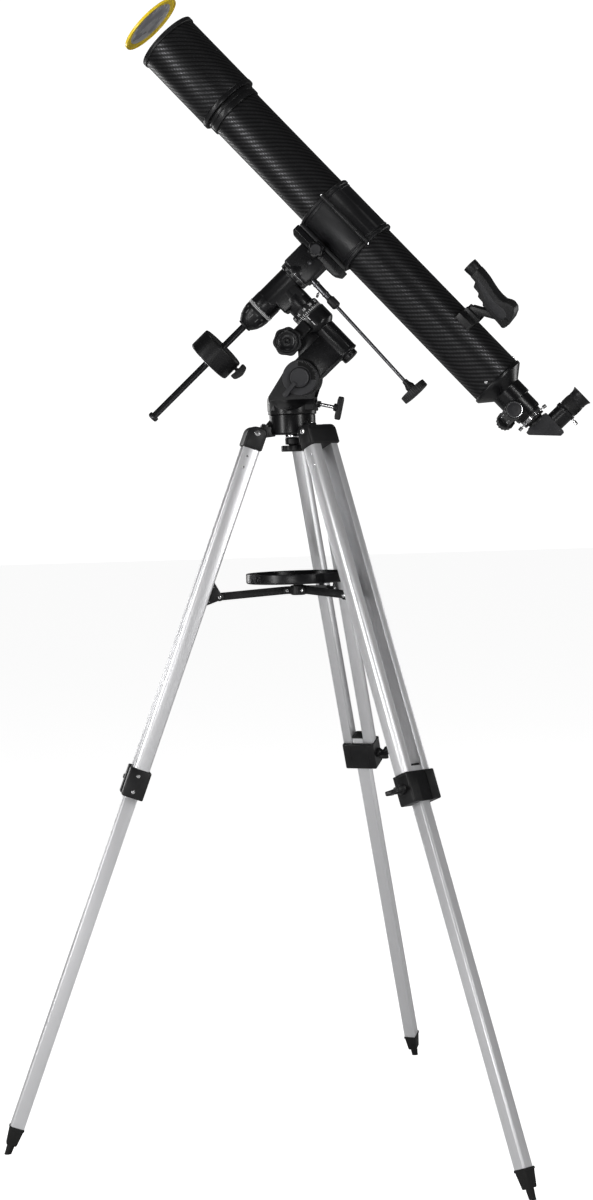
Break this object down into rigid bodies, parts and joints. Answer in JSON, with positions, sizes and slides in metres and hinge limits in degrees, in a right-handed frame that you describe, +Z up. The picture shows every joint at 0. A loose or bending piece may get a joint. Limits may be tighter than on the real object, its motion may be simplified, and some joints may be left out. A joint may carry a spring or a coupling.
{
  "type": "refractor telescope",
  "caption": "Refractor telescope with solar filter, finder and star diagonal on a German equatorial mount and a folding tripod with an accessory tray.",
  "frame": {"origin": "on the floor, at the centre of the bounding box", "axes": "+Z up; the polar axis and the telescope tube lie in the XZ plane and rise towards -X; +Y is away from the control side"},
  "size_m": [1.0933, 0.9612, 2.0847],
  "materials": {
    "black_casting": "gloss black enamel",
    "black_plastic": "satin moulded",
    "dial_grey": "satin grey",
    "leg_aluminium": "satin anodised",
    "foot_rubber": "matte",
    "chrome_steel": "bright",
    "dark_steel": "blackened",
    "weight_iron": "black enamel",
    "carbon_weave": "carbon weave pattern under clear coat",
    "lens_glass": "coated",
    "filter_yellow": "gloss",
    "filter_film": "metallised"
  },
  "bodies": {
    "head": {"tripod_head": "black_casting"},
    "head_knob": {"head_bolt_knob": "black_plastic"},
    "leg_1": {"leg_yoke_1": "black_casting", "leg_rail_1_left": "leg_aluminium", "leg_rail_1_right": "leg_aluminium", "leg_clamp_1": "black_plastic"},
    "lower_leg_1": {"lower_leg_1": "leg_aluminium", "foot_tip_1": "foot_rubber"},
    "clamp_knob_1": {"clamp_wing_knob_1": "black_plastic"},
    "leg_2": {"leg_yoke_2": "black_casting", "leg_rail_2_left": "leg_aluminium", "leg_rail_2_right": "leg_aluminium", "leg_clamp_2": "black_plastic"},
    "lower_leg_2": {"lower_leg_2": "leg_aluminium", "foot_tip_2": "foot_rubber"},
    "clamp_knob_2": {"clamp_wing_knob_2": "black_plastic"},
    "leg_3": {"leg_yoke_3": "black_casting", "leg_rail_3_left": "leg_aluminium", "leg_rail_3_right": "leg_aluminium", "leg_clamp_3": "black_plastic"},
    "lower_leg_3": {"lower_leg_3": "leg_aluminium", "foot_tip_3": "foot_rubber"},
    "clamp_knob_3": {"clamp_wing_knob_3": "black_plastic"},
    "spreader": {"spreader_hub": "black_plastic", "accessory_tray": "black_plastic"},
    "arm_1": {"spreader_arm_1": "black_plastic"},
    "arm_2": {"spreader_arm_2": "black_plastic"},
    "arm_3": {"spreader_arm_3": "black_plastic"},
    "azimuth": {"azimuth_base": "black_casting", "latitude_dial": "dial_grey"},
    "altitude_screw": {"altitude_adjust_screw": "black_plastic"},
    "altitude_lever": {"altitude_lock_lever": "dial_grey"},
    "polar": {"polar_housing": "black_casting"},
    "ra_knob": {"ra_control_knob": "black_plastic"},
    "ra_circle": {"ra_setting_circle": "black_casting"},
    "right_ascension": {"declination_housing": "black_casting", "dec_setting_circle": "black_casting"},
    "declination": {"saddle": "black_casting", "shaft_socket_cone": "black_casting", "counterweight_shaft": "dark_steel", "cradle_lower": "black_casting", "cradle_hinge_pin": "chrome_steel"},
    "weight": {"counterweight": "weight_iron"},
    "weight_knob": {"counterweight_lock_knob": "black_plastic"},
    "saddle_knob": {"saddle_clamp_knob": "black_plastic"},
    "dec_knob": {"dec_control": "black_plastic"},
    "cradle_lid": {"cradle_upper": "black_casting"},
    "tube": {"main_tube": "carbon_weave", "lens_cell": "black_casting", "objective_lens": "lens_glass", "dew_shield": "carbon_weave", "focuser_body": "black_casting", "finder_shoe": "black_plastic", "finder_body": "black_plastic"},
    "filter": {"solar_filter_ring": "filter_yellow", "solar_filter_film": "filter_film"},
    "draw": {"drawtube": "black_casting"},
    "focus_pinion": {"focus_knobs": "black_plastic"},
    "diagonal": {"star_diagonal": "black_plastic"},
    "eyepiece": {"eyepiece": "black_plastic"}
  },
  "joints": [
    {"name": "head_bolt_turn", "type": "hinge", "parent": "head", "child": "head_knob", "pos_m": [0.006, -0.08, 1.289], "axis": [0, 0, 1], "continuous": true},
    {"name": "leg_1_fold", "type": "hinge", "parent": "head", "child": "leg_1", "pos_m": [-0.0604, -0.09948, 1.293], "axis": [0.2815, -0.9596, 0], "range_deg": [0, 7]},
    {"name": "lower_leg_1_slide", "type": "slide", "parent": "leg_1", "child": "lower_leg_1", "axis": [0.3466, 0.1017, 0.9325], "range_m": [0, 0.5]},
    {"name": "clamp_knob_1_turn", "type": "hinge", "parent": "leg_1", "child": "clamp_knob_1", "pos_m": [-0.29323, -0.16778, 0.66655], "axis": [-0.2815, 0.9596, 0], "continuous": true},
    {"name": "leg_2_fold", "type": "hinge", "parent": "head", "child": "leg_2", "pos_m": [0.05607, -0.12776, 1.293], "axis": [0.6903, 0.7236, 0], "range_deg": [0, 7]},
    {"name": "lower_leg_2_slide", "type": "slide", "parent": "leg_2", "child": "lower_leg_2", "axis": [-0.2613, 0.2493, 0.9325], "range_m": [0, 0.5]},
    {"name": "clamp_knob_2_turn", "type": "hinge", "parent": "leg_2", "child": "clamp_knob_2", "pos_m": [0.23164, -0.29524, 0.66655], "axis": [-0.6903, -0.7236, 0], "continuous": true},
    {"name": "leg_3_fold", "type": "hinge", "parent": "head", "child": "leg_3", "pos_m": [0.02233, -0.01276, 1.293], "axis": [-0.9718, 0.236, 0], "range_deg": [0, 7]},
    {"name": "lower_leg_3_slide", "type": "slide", "parent": "leg_3", "child": "lower_leg_3", "axis": [-0.0852, -0.351, 0.9325], "range_m": [0, 0.5]},
    {"name": "clamp_knob_3_turn", "type": "hinge", "parent": "leg_3", "child": "clamp_knob_3", "pos_m": [0.07959, 0.22303, 0.66655], "axis": [0.9718, -0.236, 0], "continuous": true},
    {"name": "spreader_rise", "type": "slide", "parent": "head", "child": "spreader", "axis": [0, 0, 1], "range_m": [0, 0.0747]},
    {"name": "arm_1_hinge", "type": "hinge", "parent": "spreader", "child": "arm_1", "pos_m": [-0.01511, -0.08619, 1.005], "axis": [0.2815, -0.9596, 0], "range_deg": [0, 42]},
    {"name": "arm_2_hinge", "type": "hinge", "parent": "spreader", "child": "arm_2", "pos_m": [0.02192, -0.09519, 1.005], "axis": [0.6903, 0.7236, 0], "range_deg": [0, 42]},
    {"name": "arm_3_hinge", "type": "hinge", "parent": "spreader", "child": "arm_3", "pos_m": [0.01119, -0.05862, 1.005], "axis": [-0.9718, 0.236, 0], "range_deg": [0, 42]},
    {"name": "azimuth_turn", "type": "hinge", "parent": "head", "child": "azimuth", "pos_m": [0.006, -0.08, 1.325], "axis": [0, 0, 1], "continuous": true},
    {"name": "altitude_screw_turn", "type": "hinge", "parent": "azimuth", "child": "altitude_screw", "pos_m": [0.044, -0.08, 1.345], "axis": [0.9728, 0, -0.2317], "continuous": true},
    {"name": "altitude_lever_turn", "type": "hinge", "parent": "azimuth", "child": "altitude_lever", "pos_m": [0.0273, -0.08, 1.3901], "axis": [0, -1, 0], "range_deg": [-60, 15]},
    {"name": "altitude_tilt", "type": "hinge", "parent": "azimuth", "child": "polar", "pos_m": [0.0273, -0.08, 1.3901], "axis": [0, 1, 0], "range_deg": [-20, 20]},
    {"name": "ra_knob_turn", "type": "hinge", "parent": "polar", "child": "ra_knob", "pos_m": [0.00916, -0.112, 1.45491], "axis": [0, -1, 0], "continuous": true},
    {"name": "ra_circle_turn", "type": "hinge", "parent": "polar", "child": "ra_circle", "pos_m": [0.0388, -0.08, 1.51081], "axis": [-0.6717, 0, 0.7408], "continuous": true},
    {"name": "right_ascension_turn", "type": "hinge", "parent": "polar", "child": "right_ascension", "pos_m": [-0.00285, -0.08, 1.55674], "axis": [-0.6717, 0, 0.7408], "range_deg": [-95, 95]},
    {"name": "declination_turn", "type": "hinge", "parent": "right_ascension", "child": "declination", "pos_m": [-0.00285, -0.08, 1.55674], "axis": [0.7408, 0, 0.6717], "continuous": true},
    {"name": "counterweight_slide", "type": "slide", "parent": "declination", "child": "weight", "axis": [0.7408, 0, 0.6717], "range_m": [-0.135, 0.045]},
    {"name": "weight_knob_turn", "type": "hinge", "parent": "weight", "child": "weight_knob", "pos_m": [-0.09623, -0.08, 1.41335], "axis": [0.6717, 0, -0.7408], "continuous": true},
    {"name": "saddle_knob_turn", "type": "hinge", "parent": "declination", "child": "saddle_knob", "pos_m": [0.06456, -0.104, 1.61787], "axis": [0, -1, 0], "continuous": true},
    {"name": "dec_control_turn", "type": "hinge", "parent": "declination", "child": "dec_knob", "pos_m": [0.05286, -0.094, 1.56676], "axis": [0.6494, 0, -0.7604], "continuous": true},
    {"name": "cradle_open", "type": "hinge", "parent": "declination", "child": "cradle_lid", "pos_m": [0.12012, -0.13705, 1.66824], "axis": [0.6717, 0, -0.7408], "range_deg": [0, 100]},
    {"name": "tube_balance_slide", "type": "slide", "parent": "declination", "child": "tube", "axis": [-0.6717, 0, 0.7408], "range_m": [-0.12, 0.12]},
    {"name": "filter_slide", "type": "slide", "parent": "tube", "child": "filter", "axis": [-0.6717, 0, 0.7408], "range_m": [-0.038, 0.15]},
    {"name": "focus_slide", "type": "slide", "parent": "tube", "child": "draw", "axis": [0.6717, 0, -0.7408], "range_m": [0, 0.1]},
    {"name": "focus_knob_turn", "type": "hinge", "parent": "tube", "child": "focus_pinion", "pos_m": [0.4011, -0.08909, 1.30774], "axis": [-0.2363, 0.9478, -0.2143], "range_deg": [0, 720]},
    {"name": "diagonal_turn", "type": "hinge", "parent": "draw", "child": "diagonal", "pos_m": [0.44885, -0.08, 1.29529], "axis": [-0.6717, 0, 0.7408], "continuous": true},
    {"name": "eyepiece_pull", "type": "slide", "parent": "diagonal", "child": "eyepiece", "axis": [0.7408, 0, 0.6717], "range_m": [0, 0.05]}
  ],
  "couplings": [
    {"joint": "leg_2_fold", "follows": "leg_1_fold", "ratio": 1},
    {"joint": "leg_3_fold", "follows": "leg_1_fold", "ratio": 1},
    {"joint": "spreader_rise", "follows": "leg_1_fold", "m_per_rad": 0.6094},
    {"joint": "arm_1_hinge", "follows": "leg_1_fold", "ratio": 5.9647},
    {"joint": "arm_2_hinge", "follows": "leg_1_fold", "ratio": 5.9647},
    {"joint": "arm_3_hinge", "follows": "leg_1_fold", "ratio": 5.9647},
    {"joint": "focus_knob_turn", "follows": "focus_slide", "rad_per_m": 125}
  ]
}
